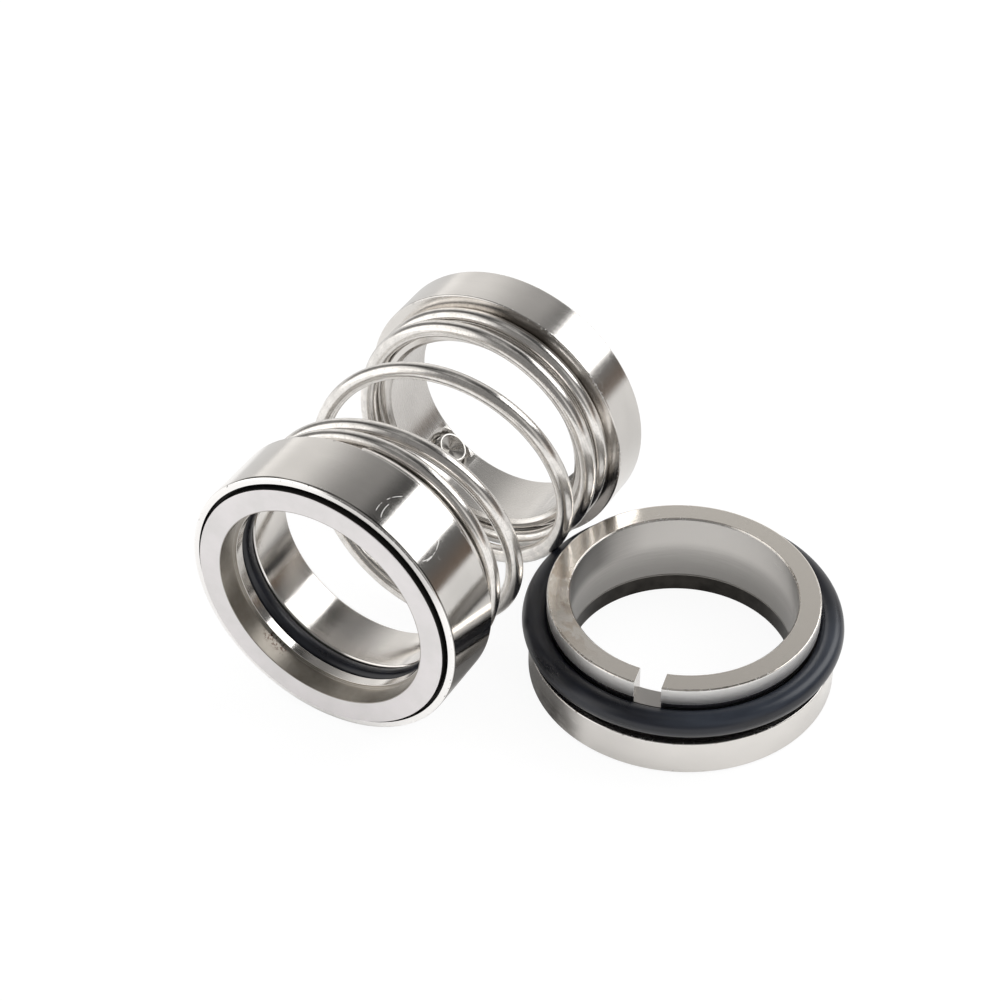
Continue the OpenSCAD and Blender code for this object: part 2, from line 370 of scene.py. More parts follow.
def make_drive_collar():
    collar = turned("drive_collar_turned", [
        (BORE_R + 0.9, COLLAR_NECK_X, 0.15),
        (NECK_R, COLLAR_NECK_X, 0.35),
        (NECK_R, COLLAR_SHOULDER_X, 0.3),
        (RING_R, COLLAR_SHOULDER_X, 0.3),
        (RING_R, COLLAR_END_X, 0.4),
        (BORE_R + 1.4, COLLAR_END_X, 0.2),
        (BORE_R, COLLAR_END_X - 1.4, 0.2),
        (BORE_R, COLLAR_NECK_X + 0.9, 0.2),
    ], head_place)
    for degrees in SCREW_DEGREES.values():
        cut_away(collar, make_screw_cutter(degrees))
    return collar


def make_set_screw(name, degrees):
    """A socket set screw with its rolled thread, cup point and hexagon socket."""
    outward, side, other = screw_frame(degrees)
    around, thread_rows = SCREW_STEPS
    base = SCREW_MIDDLE + outward * (BORE_R - SCREW_TIP_IN)
    angles = [2 * math.pi * k / around for k in range(around)]

    def at(radius, s, height):
        across = side * (radius * math.cos(s)), other * (radius * math.sin(s))
        return (base + outward * height + across[0] + across[1]) * MM

    def hexagon(s):
        return SOCKET_FLATS / 2 / math.cos((s + math.pi / 6) % (math.pi / 3) - math.pi / 6)

    verts = [at(r, s, z) for r, z in CUP_POINT for s in angles]
    for i in range(thread_rows + 1):
        z = 0.2 + (SCREW_LEN - 0.25) * i / thread_rows
        limit = min(3.75 + (z - 0.2), THREAD_R, THREAD_R - (z - (SCREW_LEN - 0.65)))
        for k, s in enumerate(angles):
            phase = (z / THREAD_PITCH - k / around) % 1.0
            groove = min(1.0, max(0.0, 1.18 - 2.6 * abs(phase - 0.5)))
            verts.append(at(min(limit, THREAD_R - THREAD_DEPTH * groove), s, z))
    socket_floor = SCREW_LEN - SOCKET_DEPTH
    socket = ((1.2, SCREW_LEN), (1.06, SCREW_LEN), (1.0, SCREW_LEN - 0.15),
              (1.0, socket_floor), (0.5, socket_floor - 0.5))
    for grow, z in socket:
        verts += [at(min(hexagon(s) * grow, THREAD_R - 0.66), s, z) for s in angles]
    return piece_from(name, verts, skin_faces(len(verts) // around, around), sharp_degrees=30)


def make_notch_cutter():
    """A block through the whole wall of the sleeve, open above it."""
    turn = math.radians(NOTCH_DEGREES)
    out = Vector((math.cos(turn), math.sin(turn), 0))
    side = Vector((-math.sin(turn), math.cos(turn), 0))
    corners = []
    for z in (SEAT_H - NOTCH_DEPTH, SEAT_H + 2):
        for reach, shift in ((18, -1), (40, -1), (40, 1), (18, 1)):
            corners.append((SEAT + out * reach + side * (shift * NOTCH_W / 2) + Vector((0, 0, z))) * MM)
    faces = [(0, 1, 2, 3), (7, 6, 5, 4), (0, 4, 5, 1), (1, 5, 6, 2), (2, 6, 7, 3), (3, 7, 4, 0)]
    return piece_from("cutter", corners, faces)


def make_seat_ring():
    seat = turned("seat_ring_turned", [
        (SEAT_BORE_R, SEAT_FACE_LEN, 0.12),
        (POCKET_R, SEAT_FACE_LEN, 0),
        (POCKET_R, SEAT_FACE_PROUD, 0.1),
        (FLANGE_R, SEAT_FACE_PROUD, 0.4),
        (FLANGE_R, FLANGE_TOP, 0.3),
        (SLEEVE_R, FLANGE_TOP, 0.2),
        (SLEEVE_R, SEAT_GROOVE_Z[0], 0.2),
        (SEAT_GROOVE_R, SEAT_GROOVE_Z[0], 0.2),
        (SEAT_GROOVE_R, SEAT_GROOVE_Z[1], 0.2),
        (SLEEVE_R, SEAT_GROOVE_Z[1], 0.2),
        (SLEEVE_R, SEAT_H, 0.4),
        (SEAT_BORE_R + 0.4, SEAT_H, 0.12),
        (SEAT_BORE_R, SEAT_H - 0.4, 0.12),
    ], seat_place)
    cut_away(seat, make_notch_cutter())
    return seat


class Value:
    """A number or vector in a node tree. Arithmetic on it adds Math nodes."""

    def __init__(self, finish, socket):
        self.finish = finish
        self.socket = socket

    def math(self, operation, *others):
        return self.finish.node("Math", {"operation": operation}, [self, *others])

    def __add__(self, other):
        return self.math("ADD", other)

    __radd__ = __add__

    def __sub__(self, other):
        return self.math("SUBTRACT", other)

    def __rsub__(self, other):
        return self.finish.node("Math", {"operation": "SUBTRACT"}, [other, self])

    def __mul__(self, other):
        return self.math("MULTIPLY", other)

    __rmul__ = __mul__

    def __truediv__(self, other):
        return self.math("DIVIDE", other)

    def __pow__(self, other):
        return self.math("POWER", other)

    def __gt__(self, other):
        return self.math("GREATER_THAN", other)

    def __lt__(self, other):
        return self.math("LESS_THAN", other)


class Finish:
    """The node tree of one finish, and the steps that its recipe is written in."""

    def __init__(self, holder):
        holder.use_nodes = True
        self.holder = holder
        self.tree = holder.node_tree
        self.tree.nodes.clear()

    def node(self, kind, settings=None, sockets=(), out=0):
        """Adds one node: its settings first, then the values or links of its sockets."""
        made = self.tree.nodes.new("ShaderNode" + kind)
        for key, setting in (settings or {}).items():
            setattr(made, key, setting)
        pairs = sockets.items() if isinstance(sockets, dict) else enumerate(sockets)
        for key, value in pairs:
            if isinstance(value, Value):
                self.tree.links.new(value.socket, made.inputs[key])
            else:
                made.inputs[key].default_value = value
        return Value(self, made.outputs[out]) if made.outputs else None

    def outputs(self, made):
        """All outputs of a node, by name."""
        return {s.name: Value(self, s) for s in made.socket.node.outputs}

    def split(self, vector):
        return self.outputs(self.node("SeparateXYZ", None, [vector])).values()

    def join(self, x, y, z):
        return self.node("CombineXYZ", None, [x, y, z])

    def place(self):
        """The point's place on the object, as x, y and z in metres."""
        return self.split(self.node("TexCoord", out="Object"))

    def between(self, value, low, high):
        """0 at low, 1 at high, and soft between them. low may be above high."""
        if low > high:
            return 1 - self.between(value, high, low)
        return self.node("MapRange", {"interpolation_type": "SMOOTHSTEP"},
                         {"Value": value, "From Min": low, "From Max": high})

    def noise(self, vector, scale, detail=2.0, roughness=0.5, kind="3D"):
        sockets = {"Scale": scale, "Detail": detail, "Roughness": roughness}
        sockets["W" if kind == "1D" else "Vector"] = vector
        return self.node("TexNoise", {"noise_dimensions": kind}, sockets)

    def blend_colour(self, factor, first, second):
        first, second = (c if isinstance(c, Value) else (*c, 1) for c in (first, second))
        return self.node("Mix", {"data_type": "RGBA"}, {0: factor, 6: first, 7: second}, out=2)

    def bump(self, height, strength, distance):
        return self.node("Bump", None, {"Height": height, "Strength": strength, "Distance": distance})

    def surface(self, **sockets):
        """Ends the recipe with the main shader. Sockets are named with _ for a space."""
        named = {key.replace("_", " "): value for key, value in sockets.items()}
        self.node("OutputMaterial", None, [self.node("BsdfPrincipled", None, named)])
        return self.holder


def new_finish(name):
    return Finish(bpy.data.materials.new(name))


def around_head(f):
    """Millimetres along the head's axis, radius from it, and the unit direction across it."""
    x, y, z = f.place()
    x = (x - HEAD.x * MM) / MM
    y = (y - HEAD.y * MM) / MM
    z = (z - HEAD.z * MM) / MM
    radius = (y * y + z * z) ** 0.5
    return x, radius, y / radius, z / radius


def around_seat(f):
    """Millimetres up the seat's axis, radius from it, and the unit direction across it."""
    x, y, z = f.place()
    x = (x - SEAT.x * MM) / MM
    y = (y - SEAT.y * MM) / MM
    radius = (x * x + y * y) ** 0.5
    return z / MM, radius, x / radius, y / radius


def own_place(f, along, radius, c, s):
    """The place about the piece's own axis, in millimetres."""
    return f.join(along, radius * c, radius * s)


def in_millimetres(f):
    x, y, z = f.place()
    return f.join(x / MM, y / MM, z / MM)


def head_degrees(c, s):
    """The angle about the head's axis: 0 towards the seat and 90 up."""
    return s.math("ARCTAN2", 0 - c) * TO_DEGREES


def seat_degrees(c, s):
    """The angle about the seat's axis, from +X."""
    return s.math("ARCTAN2", c) * TO_DEGREES


def most(first, *others):
    """The strongest of several masks."""
    for other in others:
        first = first.math("MAXIMUM", other)
    return first


STEEL = (0.79, 0.765, 0.735)
RUBBED = (0.95, 0.94, 0.92)
# Near-black painted shade for deep, narrow gaps and grooves
PAINTED_RECESS_SHADE = (0.012, 0.011, 0.010)

# The ground bores of the two hard faces, each from its darker to its lighter patches, their own
# darker tone deepened with painted shade; and the two bearings between which the rotary one has
# rust specks
ROTARY_BORE = ((0.24, 0.22, 0.19), (0.33, 0.305, 0.27))
ROTARY_RUST = (-134, -119)
SEAT_FACE_BORE = ((0.02, 0.018, 0.016), (0.055, 0.05, 0.045))

# Curved scratches on the face ring, each as its centre, radius and span, in millimetres along the
# ring and round it
RING_SCRATCHES = (
    ((6.0, 32.0), 7.9, (4.2, 6.9)),
    ((6.0, 32.0), 7.9, (8.3, 11.6)),
    ((6.6, 31.4), 7.2, (3.4, 7.6)),
)

# Single dents on the edges, each as (station, degrees, size)
RING_DENTS = ((1.7, 86.2, 0.45), (1.9, 88.0, 0.3))
COLLAR_DENTS = ((COLLAR_SHOULDER_X, 64.5, 0.45), (COLLAR_SHOULDER_X, 37.3, 0.4))
FLANGE_DENTS = ((FLANGE_TOP, 165, 0.5), (FLANGE_TOP, -166, 0.4), (FLANGE_TOP, -156, 0.45))


def scaled(colour, factor):
    return tuple(v * factor for v in colour)


def turned_skin(f, along, radius, c, s, rough, lines):
    """Turned and polished steel: tint, roughness and normal, from fine tool lines and faint streaks."""
    travel = along + radius * 0.93
    fine = f.noise(travel, 14.0, 3.0, 0.6, "1D")
    coarse = f.noise(travel, 2.1, 2.0, 0.5, "1D")
    patches = f.noise(f.join(travel * 2.4, c * 5.0, s * 5.0), 1.0, 3.0, 0.55)
    cloudy = f.noise(f.join(travel * 0.12, c * 2.0, s * 2.0), 1.0, 2.0, 0.5)
    roughness = rough + (patches - 0.5) * 0.08 + (coarse - 0.5) * 0.05 + (cloudy - 0.5) * 0.06
    tint = f.blend_colour(f.between(cloudy, 0.35, 0.7), STEEL, scaled(STEEL, 0.94))
    height = fine * 0.6 + coarse * 0.4 + patches * 0.25
    return tint, roughness, f.bump(height, lines, 0.00002)


def hairlines(f, place):
    """Thin broken wear lines: the contours of a noise, kept in a few patches."""
    contour = (f.noise(place, 0.16, 1.0, 0.4) - 0.5).math("ABSOLUTE")
    kept = f.between(f.noise(place, 0.35, 2.0, 0.5), 0.6, 0.68)
    return f.between(contour, 0.0035, 0.0012) * kept


def arc_scratch(f, p, q, centre, radius, span):
    """One curved scratch in the plane of p and q, from span[0] to span[1] along p."""
    away = ((p - centre[0]) ** 2 + (q - centre[1]) ** 2) ** 0.5
    line = f.between((away - radius).math("ABSOLUTE"), 0.12, 0.04)
    worn = f.between(f.noise(f.join(p, q, 0.0), 0.5, 2.0, 0.6), 0.3, 0.6)
    fade = 0.3
    drawn = line * worn * f.between(p, span[0] - fade, span[0] + fade)
    return drawn * f.between(p, span[1] + fade, span[1] - fade)


def edge_wear(f, along, radius, c, s, corners):
    """Small bright rubs and dark chips along turned edges, each edge given as (radius, station)."""
    near = most(*[
        f.between(((radius - r) ** 2 + (along - station) ** 2) ** 0.5, 0.75, 0.3)
        for r, station in corners
    ])
    chips = f.noise(own_place(f, along, radius, c, s), 1.1, 3.0, 0.65)
    return f.between(chips, 0.58, 0.64) * near, f.between(chips, 0.37, 0.32) * near


def nicks(f, along, degrees, reach, dents):
    """Single small dents on an edge, where reach is its radius."""
    spots = []
    for station, at, size in dents:
        round_it = (degrees - at) * math.radians(reach)
        away = ((along - station) ** 2 + round_it ** 2) ** 0.5
        spots.append(f.between(away, size, size * 0.4))
    return most(*spots)


def face_ring_steel():
    """The face ring: polished outside, bright bore, painted shade deep in the gap round the hard face
    and in the groove, painted light and shade on the rim, and a painted dark reflection behind the
    front edge.
    """
    f = new_finish("polished_face_ring")
    along, radius, c, s = around_head(f)
    tint, roughness, normal = turned_skin(f, along, radius, c, s, 0.12, 0.3)
    # Painted shade: the gap round the hard face and the O-ring groove in the bore are darkened almost
    # to black
    gap = (radius > FACE_OUT_R - 0.2) * (radius < GAP_R + 0.06)
    gap = gap * (along > RIM_X + 0.15) * (along < FACE_LEN + 2.8)
    groove = (radius > BORE_R + 0.4) * (radius < GROOVE_R + 0.1)
    groove = groove * (along > GROOVE_X[0] - 0.7) * (along < GROOVE_X[1] + 0.7)
    recess_shade = most(gap, groove * 0.7)
    outside = radius > RING_R - 0.1
    turn = s.math("ARCTAN2", 0 - c)
    degrees = turn * TO_DEGREES
    scratches = [arc_scratch(f, along, turn * RING_R, *scratch) for scratch in RING_SCRATCHES]
    worn = hairlines(f, own_place(f, along, radius, c, s)) * 0.25
    rub = most(*scratches, worn) * outside * 0.75
    # Painted light on the rim: a painted highlight all round, turning to painted shade from about 18 to
    # 96 degrees
    rim = (along < RIM_X + 0.3) * (radius > GAP_R - 0.1)
    shaded = f.between(degrees, 18, 36) * f.between(degrees, 96, 70)
    rim_painted_light = f.blend_colour(shaded, (0.98, 0.965, 0.95), (0.66, 0.645, 0.63))
    tint = f.blend_colour(rim, tint, rim_painted_light)
    bright, dark = edge_wear(f, along, radius, c, s, ((RING_R, RIM_X), (RING_R, SHOULDER_X)))
    # Painted dark reflection: a thin dark line on the outside just behind the front edge's rounding,
    # broken near the top and fading out from 118 to 128 degrees
    line = f.between(along, RIM_X + 0.3, RIM_X + 0.5) * f.between(along, RIM_X + 0.85, RIM_X + 0.7)
    broken = f.between(degrees, 84, 92) * f.between(degrees, 108, 102)
    line = line * outside * (1 - broken) * f.between(degrees, 128, 118)
    dark = most(dark, line)
    bright = most(bright, nicks(f, along, degrees, RING_R, RING_DENTS) * outside)
    tint = f.blend_colour(most(rub, bright * 0.6), tint, RUBBED)
    # Darker where the edges are chipped, and along the painted dark reflection line
    tint = f.blend_colour(dark * 0.8, tint, (0.10, 0.095, 0.09))
    return f.surface(
        Base_Color=f.blend_colour(recess_shade, tint, PAINTED_RECESS_SHADE),
        Metallic=1 - recess_shade * 0.8 - rub * 0.5,
        Roughness=roughness + recess_shade * 0.5 + rub * 0.45 + bright * 0.2,
        Normal=normal,
    )


def collar_steel():
    """The drive collar: softer polish outside, a satin bore, and painted shade on the shoulder face."""
    f = new_finish("polished_drive_collar")
    along, radius, c, s = around_head(f)
    tint, roughness, normal = turned_skin(f, along, radius, c, s, 0.17, 0.22)
    bore = radius < BORE_R + 0.35
    shoulder = (along > COLLAR_SHOULDER_X - 0.1) * (along < COLLAR_SHOULDER_X + 0.12)
    shoulder = shoulder * (radius > NECK_R)
    degrees = head_degrees(c, s)
    # Painted shade on the shoulder face, in three bands round the axis
    shoulder_painted_shade = (
        f.between(degrees, 95, 84) * f.between(degrees, 58, 66) * 0.55
        + f.between(degrees, 46, 41) * f.between(degrees, 24, 30) * 0.35
        + f.between(degrees, -2, -10) * 0.6
    )
    rub = hairlines(f, own_place(f, along, radius, c, s)) * 0.25 * (radius > RING_R - 0.1)
    tint = f.blend_colour(bore * 0.15, tint, scaled(STEEL, 0.62))
    tint = f.blend_colour(shoulder * shoulder_painted_shade, tint, (0.12, 0.10, 0.085))
    corners = ((RING_R, COLLAR_SHOULDER_X), (RING_R, COLLAR_END_X))
    bright, dark = edge_wear(f, along, radius, c, s, corners)
    dents = nicks(f, along, degrees, RING_R, COLLAR_DENTS)
    bright = most(bright, dents * (radius > RING_R - 0.5))
    tint = f.blend_colour(most(rub, bright * 0.6), tint, RUBBED)
    return f.surface(
        Base_Color=f.blend_colour(dark * 0.6, tint, (0.20, 0.19, 0.18)),
        Metallic=1.0 - rub * 0.5,
        Roughness=roughness + bore * 0.1 + rub * 0.4 + bright * 0.2,
        Normal=normal,
    )


def seat_ring_steel():
    """The seat ring: fine turned all over, with a satin bore in painted light and shade, painted shade
    on the flange's side towards the head, painted reflection bands on the top, and a milled notch.
    """
    f = new_finish("satin_seat_ring")
    along, radius, c, s = around_seat(f)
    tint, roughness, normal = turned_skin(f, along, radius, c, s, 0.17, 0.5)
    bore = radius < SEAT_BORE_R + 0.15
    brushed = f.noise(f.join(along * 2.6, c * 2.2, s * 2.2), 1.0, 4.0, 0.65)
    rub = hairlines(f, own_place(f, along, radius, c, s)) * 0.25 * (radius > SEAT_BORE_R + 0.3)
    degrees = seat_degrees(c, s)

    # Painted light in the bore: the brushed tone is set dark as painted shade inside it, with a painted
    # highlight high up below about 54 degrees, painted shade high up from 60 to 122 degrees, and
    # painted shade growing towards the hard face
    bore_tone_and_painted_light = f.blend_colour(f.between(brushed, 0.3, 0.7), scaled(STEEL, 0.55), scaled(STEEL, 0.64))
    upper = f.between(along, 11.5, 15.5)
    bore_tone_and_painted_light = f.blend_colour(f.between(degrees, 64, 44) * upper, bore_tone_and_painted_light, scaled(STEEL, 0.86))
    bore_painted_shade = f.between(degrees, 60, 78) * f.between(degrees, 122, 104) * upper
    bore_tone_and_painted_light = f.blend_colour(bore_painted_shade * 0.75, bore_tone_and_painted_light, scaled(STEEL, 0.2))
    bore_tone_and_painted_light = f.blend_colour(f.between(along, 13.5, 6.5) * 0.8, bore_tone_and_painted_light, scaled(STEEL, 0.40))
    tint = f.blend_colour(bore, tint, bore_tone_and_painted_light)

    # Painted shade on the flange's side towards the head, in soft patches
    patches = f.noise(f.join(along * 0.5, degrees * 0.12, 0.0), 1.0, 3.0, 0.6)
    flange_painted_shade = f.between(degrees, 136, 146) * f.between(degrees, 170, 160) * (radius > FLANGE_R - 0.5)
    flange_painted_shade = flange_painted_shade * f.between(along, FLANGE_TOP, 3.0) * f.between(patches, 0.25, 0.6)
    tint = f.blend_colour(flange_painted_shade * 0.6, tint, (0.20, 0.185, 0.165))

    top = along > SEAT_H - 0.2
    sleeve = (radius > SLEEVE_R - 0.15) * (along > SEAT_GROOVE_Z[0]) * (1 - top)
    tint = f.blend_colour(top, tint, (0.86, 0.815, 0.755))
    tint = f.blend_colour(sleeve, tint, (0.98, 0.965, 0.945))
    notch_floor = SEAT_H - NOTCH_DEPTH
    milled = (along < notch_floor + 0.1) * (along > notch_floor - 0.1)
    milled = milled * (radius > SEAT_BORE_R + 0.2) * (radius < SLEEVE_R - 0.2)
    tint = f.blend_colour(milled, tint, scaled(STEEL, 0.66))
    # Painted reflection: brownish radial bands on the top face's left side
    streaks = f.noise(f.join(degrees * 0.09, radius * 0.25, 0.0), 1.0, 3.0, 0.6)
    top_painted_reflection = f.between(streaks, 0.46, 0.6) * f.between(degrees, 82, 96) * f.between(degrees, 172, 140)
    tint = f.blend_colour(top_painted_reflection * top * 0.55, tint, (0.60, 0.50, 0.40))

    bright, dark = edge_wear(f, along, radius, c, s, (
        (SLEEVE_R, SEAT_H), (SEAT_BORE_R, SEAT_H), (FLANGE_R, FLANGE_TOP), (FLANGE_R, SEAT_FACE_PROUD)))
    dents = nicks(f, along, degrees, FLANGE_R, FLANGE_DENTS)
    dark = most(dark, dents * (radius > FLANGE_R - 0.6))
    tint = f.blend_colour(most(rub, bright * 0.7), tint, RUBBED)
    matt = bore * (0.10 + brushed * 0.08) + sleeve * 0.27 + milled * 0.15
    return f.surface(
        Base_Color=f.blend_colour(dark * 0.7, tint, (0.16, 0.14, 0.12)),
        Metallic=1.0 - rub * 0.5,
        Roughness=roughness + matt + rub * 0.4 + bright * 0.2,
        Normal=normal,
    )


def lapped_face(name, axes, length, gap_floor, bore_colours, rust=None):
    """A hard face, lapped matt: a fine even grain, faint rubs, and a dark ground bore, its own tone
    deepened with painted shade, and a painted highlight round the bore at its joint.

    Its rim is painted near-black above gap_floor, as shade in the gap. rust gives two bearings
    with rust specks between.
    """
    f = new_finish(name)
    along, radius, c, s = axes(f)
    place = own_place(f, along, radius, c, s)
    grain = f.noise(place, 9.0, 4.0, 0.7)
    clouds = f.noise(place, 0.12, 3.0, 0.6)
    bore = f.between(radius, FACE_IN_R + 0.35, FACE_IN_R + 0.05)
    # Painted shade: the outer side of the hard face, down in the gap, is darkened almost to black
    rim = (radius > FACE_OUT_R - 0.06) * (along > gap_floor)
    face = f.blend_colour(f.between(clouds, 0.3, 0.75), (0.84, 0.81, 0.815), (0.78, 0.76, 0.755))
    # The dark bore: its own darker tone, deepened as painted shade inside it
    inner = f.blend_colour(f.between(clouds, 0.3, 0.7), *bore_colours)
    # Painted highlight: a lighter band round the bore at its joint with the ring
    joint = f.between(along, length - 0.45, length - 0.3)
    inner = f.blend_colour(joint * 0.6, inner, (0.5, 0.48, 0.45))
    if rust:
        degrees, fade = head_degrees(c, s), 3
        specks = f.between(f.noise(place, 1.7, 3.0, 0.7), 0.53, 0.58)
        specks = specks * f.between(degrees, rust[0] - fade, rust[0] + fade)
        specks = specks * f.between(degrees, rust[1] + fade, rust[1] - fade)
        inner = f.blend_colour(specks * f.between(along, 2.0, 4.0) * 0.9, inner, (0.07, 0.03, 0.02))
    return f.surface(
        Base_Color=f.blend_colour(rim, f.blend_colour(bore, face, inner), PAINTED_RECESS_SHADE),
        Metallic=0.9 - rim * 0.7,
        Roughness=0.42 + (grain - 0.5) * 0.12 + (clouds - 0.5) * 0.1 - bore * 0.12,
        Normal=f.bump(grain, 0.2, 0.00002),
    )


def drawn_wire(name):
    """Spring wire: lengthways drawing lines, faint mottling and small rubs."""
    f = new_finish(name)
    u, v, _ = f.split(f.node("UVMap", {"uv_map": "wire"}))
    place = in_millimetres(f)
    turn = v * (2 * math.pi)
    c, s = turn.math("COSINE"), turn.math("SINE")
    lines = f.noise(f.join(u * 7.0, c * 8.0, s * 8.0), 1.0, 3.0, 0.6)
    streaks = f.noise(f.join(u * 26.0, c * 3.0, s * 3.0), 1.0, 2.0, 0.5)
    mottle = f.noise(place, 0.4, 3.0, 0.6)
    grain = f.noise(place, 3.3, 3.0, 0.7)
    tint = f.blend_colour(f.between(mottle, 0.3, 0.7), scaled(STEEL, 1.18), scaled(STEEL, 1.0))
    tint = f.blend_colour(f.between(lines, 0.48, 0.72) * 0.3, tint, scaled(STEEL, 0.5))
    tint = f.blend_colour(f.between(grain, 0.52, 0.68) * 0.4, tint, scaled(STEEL, 0.42))
    return f.surface(
        Base_Color=tint,
        Metallic=1.0,
        Roughness=0.2 + (mottle - 0.5) * 0.12 + (streaks - 0.5) * 0.1 + (grain - 0.5) * 0.16,
        Normal=f.bump(lines * 0.4 + streaks * 0.3 + grain * 0.5, 0.4, 0.00004),
    )


def moulded_rubber(name, axes, crest=None):
    """Black-blue seal rubber: satin skin with a faint mould bloom and dust.

    crest is the height above which a bluish painted highlight lies, on the side away from the head.
    """
    f = new_finish(name)
    along, radius, c, s = axes(f)
    place = own_place(f, along, radius, c, s)
    skin = f.noise(place, 3.0, 4.0, 0.6)
    bloom = f.noise(f.join(along * 0.6, c * 3.0, s * 3.0), 1.0, 3.0, 0.55)
    dust = f.between(f.noise(place, 2.3, 2.0, 0.5), 0.72, 0.78)
    tint = f.blend_colour(f.between(bloom, 0.3, 0.7), (0.005, 0.006, 0.010), (0.011, 0.013, 0.021))
    if crest:
        # Painted highlight: a bluish sheen along the crest, on the side away from the head
        degrees = seat_degrees(c, s)
        painted_crest_highlight = f.between(degrees, -172, -146) * f.between(degrees, -48, -74)
        painted_crest_highlight = painted_crest_highlight * f.between(along, crest, crest + 1.4)
        tint = f.blend_colour(painted_crest_highlight * (0.35 + bloom), tint, (0.030, 0.037, 0.052))
    return f.surface(
        Base_Color=f.blend_colour(dust * 0.2, tint, (0.12, 0.12, 0.13)),
        Roughness=0.29 + (bloom - 0.5) * 0.12 + dust * 0.15,
        Normal=f.bump(skin, 0.15, 0.00004),
    )


def screw_steel(name):
    """Plain screw steel, a little uneven in tone and gloss."""
    f = new_finish(name)
    grain = f.noise(in_millimetres(f), 2.4, 3.0, 0.6)
    return f.surface(
        Base_Color=f.blend_colour(grain, (0.62, 0.60, 0.57), (0.42, 0.41, 0.39)),
        Metallic=1.0,
        Roughness=0.24 + (grain - 0.5) * 0.2,
        Normal=f.bump(grain, 0.2, 0.00004),
    )


def finished(piece, material, body, node):
    """Gives a piece its finish and its CAD node's place. The spring is given no body of its own."""
    piece.data.materials.clear()
    piece.data.materials.append(material)
    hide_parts(node)
    if body:
        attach(piece, body)
    return piece


# The floor: its half width, and the middle of the painted shadow patch that the rings mirror between
# them
FLOOR_HALF = 3.0
PATCH_X, PATCH_Y = -0.016, -0.004


def make_floor():
    """A pale floor. Mirror rays see painted shadow on it under and near the head and towards +X, which
    the camera does not see.
    """
    corners = [(-1, -1, 0), (1, -1, 0), (1, 1, 0), (-1, 1, 0)]
    floor = piece_from("studio_floor", [Vector(c) * FLOOR_HALF for c in corners], [(0, 1, 2, 3)])
    f = new_finish("pale_floor")
    ray = f.outputs(f.node("LightPath"))
    paper = f.node("BsdfDiffuse", None, {"Color": (0.9, 0.9, 0.9, 1)})
    glow = f.node("Emission", None, {"Color": (1, 1, 1, 1), "Strength": 1.08})
    bright = f.node("Emission", None, {"Color": (1, 0.99, 0.975, 1), "Strength": 1.5})
    shaded = f.node("BsdfDiffuse", None, {"Color": (0.05, 0.045, 0.04, 1)})
    closed_in = 1 - f.node("AmbientOcclusion", {"samples": 4}, {"Distance": 0.03}, out="AO")
    x, y, _ = f.place()
    from_patch = ((x - PATCH_X) ** 2 + (y - PATCH_Y) ** 2) ** 0.5
    # Painted shadow for mirror rays: from ambient occlusion, a dark patch between head and seat, and a
    # fall-off towards +X
    dim = most(
        f.between(closed_in, 0.5, 0.92) * 0.85,
        f.between(from_patch, 0.022, 0.008) * 0.8,
        f.between(x, 0.04, 0.08) * 0.3,
    )
    shade = f.node("MixShader", None, [ray["Is Glossy Ray"] * 0.3, paper, bright])
    shade = f.node("MixShader", None, [ray["Is Glossy Ray"] * dim, shade, shaded])
    shade = f.node("MixShader", None, [ray["Is Camera Ray"] * 0.84, shade, glow])
    f.node("OutputMaterial", None, [shade])
    floor.data.materials.append(f.holder)


# The soft window: its sides, where it stands from the object, how far away, and how bright it is
WINDOW_SIDES = (1.3, 0.77)
WINDOW_TOWARDS = (0.62, -0.54, 0.57)
WINDOW_AWAY = 1.5
WINDOW_LEVEL = 2.6
LIT_POINT = (0, 0.03, 0.034)


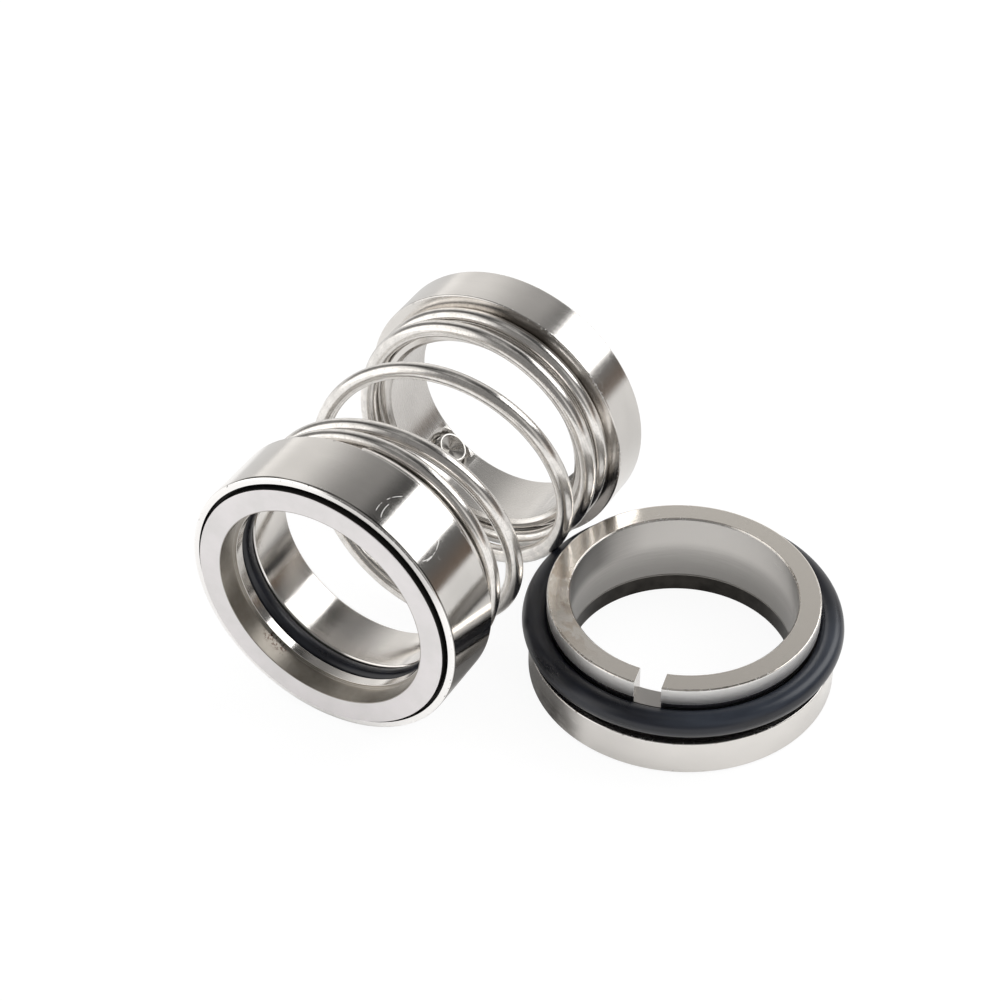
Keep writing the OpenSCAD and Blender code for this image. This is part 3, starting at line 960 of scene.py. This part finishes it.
def light_studio():
    """An even fill and one window. Mirror rays see a room instead.

    The room has a pale wall that darkens upwards, with a gap and a bright panel on the photo's left,
    a dark side on its right, and a dim part behind the camera.
    """
    bpy.context.scene.view_settings.view_transform = "Standard"
    world = bpy.data.worlds.new("studio")
    bpy.context.scene.world = world
    f = Finish(world)
    x, y, z = f.split(f.node("TexCoord", out="Generated"))
    height = z.math("ARCSINE") * TO_DEGREES
    bearing = y.math("ARCTAN2", x) * TO_DEGREES
    level = (x * x + y * y) ** 0.5

    def toward(degrees, outer, inner):
        """1 within inner degrees of a bearing, and 0 beyond outer degrees."""
        turn = math.radians(degrees)
        facing = (x * math.cos(turn) + y * math.sin(turn)) / level
        return f.between(facing, math.cos(math.radians(outer)), math.cos(math.radians(inner)))

    wall = (
        0.05
        + 0.12 * f.between(height, 76, 60)
        + 0.4 * f.between(height, 66, 78)
        + 0.66 * f.between(height, 58, 24)
        + 0.25 * f.between(height, 14, 1)
    )
    room_behind = toward(-159, 48, 36) * f.between(height, 74, 66)
    gap = toward(78, 24, 10)
    panel = toward(128, 32, 24) * f.between(height, 60, 50)
    dark_side = f.between(bearing, 2, -22) * f.between(bearing, -118, -78)
    mirrored = wall * (1 - dark_side * 0.86) * (1 - gap * 0.75)
    mirrored = mirrored * (1 - room_behind) + room_behind * 0.22 + panel * 0.55
    ray = f.outputs(f.node("LightPath"))
    seen = f.node("Background", None, {"Color": (1, 1, 1, 1), "Strength": 1.0})
    warm = dark_side * f.between(height, 16, 2)
    tint = f.blend_colour(warm, (1.0, 0.985, 0.965), (1.0, 0.76, 0.60))
    room = f.node("Background", None, {"Color": tint, "Strength": mirrored})
    fill = f.node("Background", None, {"Color": (1, 1, 1, 1), "Strength": 0.78})
    shade = f.node("MixShader", None, [ray["Is Glossy Ray"], fill, room])
    shade = f.node("MixShader", None, [ray["Is Camera Ray"], shade, seen])
    f.node("OutputWorld", None, [shade])

    lamp = bpy.data.lights.new("window_box", "AREA")
    lamp.shape = "RECTANGLE"
    lamp.size, lamp.size_y = WINDOW_SIDES
    lamp.energy = WINDOW_LEVEL * math.pi * lamp.size * lamp.size_y
    window = bpy.data.objects.new("window_box", lamp)
    bpy.context.scene.collection.objects.link(window)
    away = Vector(WINDOW_TOWARDS).normalized()
    window.location = Vector(LIT_POINT) + away * WINDOW_AWAY
    long_side = Vector((1, 0, 0))
    long_side = (long_side - away * long_side.dot(away)).normalized()
    window.rotation_euler = Matrix((long_side, away.cross(long_side), away)).transposed().to_euler()
    window.visible_camera = False


# The photo's camera, as fitted to the turned edges
SENSOR_MM = 36.0
PHOTO_PIXELS = 1001
FOCAL_PIXELS = 2690.86
CAMERA_PLACE = (-0.401602, -0.217718, 0.43704)
CAMERA_RIGHT = (0.4983, -0.8670, 0)
CAMERA_FORWARD = (0.6576, 0.3780, -0.6517)


def set_camera():
    data = bpy.data.cameras.new("photo_camera")
    data.sensor_fit = "HORIZONTAL"
    data.sensor_width = SENSOR_MM
    data.lens = SENSOR_MM * FOCAL_PIXELS / PHOTO_PIXELS
    data.clip_end = 20.0
    camera = bpy.data.objects.new("photo_camera", data)
    bpy.context.scene.collection.objects.link(camera)
    right = Vector(CAMERA_RIGHT).normalized()
    forward = Vector(CAMERA_FORWARD).normalized()
    turned_to = Matrix((right, right.cross(forward), -forward)).transposed().to_4x4()
    camera.matrix_world = Matrix.Translation(Vector(CAMERA_PLACE)) @ turned_to
    bpy.context.scene.camera = camera


head_rubber = moulded_rubber("shaft_seal_rubber", around_head)
seat_rubber = moulded_rubber("seat_seal_rubber", around_seat, SEAT_CORD[1] + 0.8)
wire_finish = drawn_wire("drawn_spring_wire")
screw_finish = screw_steel("plain_screw_steel")

finished(make_face_ring(), face_ring_steel(), "face_side", "face_ring")
finished(make_rotary_face(),
         lapped_face("lapped_rotary_face", around_head, FACE_LEN, 0.13, ROTARY_BORE, ROTARY_RUST),
         "face_side", "rotary_face")
finished(cord_ring("shaft_o_ring_moulded", SHAFT_CORD, head_place), head_rubber,
         "face_side", "shaft_o_ring")
finished(make_drive_collar(), collar_steel(), "drive_side", "drive_collar")
finished(make_set_screw("set_screw_far_cut", SCREW_DEGREES["far"]), screw_finish,
         "far_screw", "set_screw_far")
finished(make_set_screw("set_screw_near_cut", SCREW_DEGREES["near"]), screw_finish,
         "near_screw", "set_screw_near")
finished(make_seat_ring(), seat_ring_steel(), "drive_side", "seat_ring")
finished(make_stationary_face(),
         lapped_face("lapped_stationary_face", around_seat, SEAT_FACE_LEN, SEAT_FACE_PROUD + 0.1,
                     SEAT_FACE_BORE),
         "drive_side", "stationary_face")
finished(cord_ring("seat_o_ring_moulded", SEAT_CORD, seat_place), seat_rubber,
         "drive_side", "seat_o_ring")
spring = finished(make_spring(), wire_finish, None, "spring")
tuple(head_place(0, 0, SHOULDER_X))
tuple(head_place(0, 0, COLLAR_SHOULDER_X))
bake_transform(spring)

make_floor()
light_studio()
set_camera()
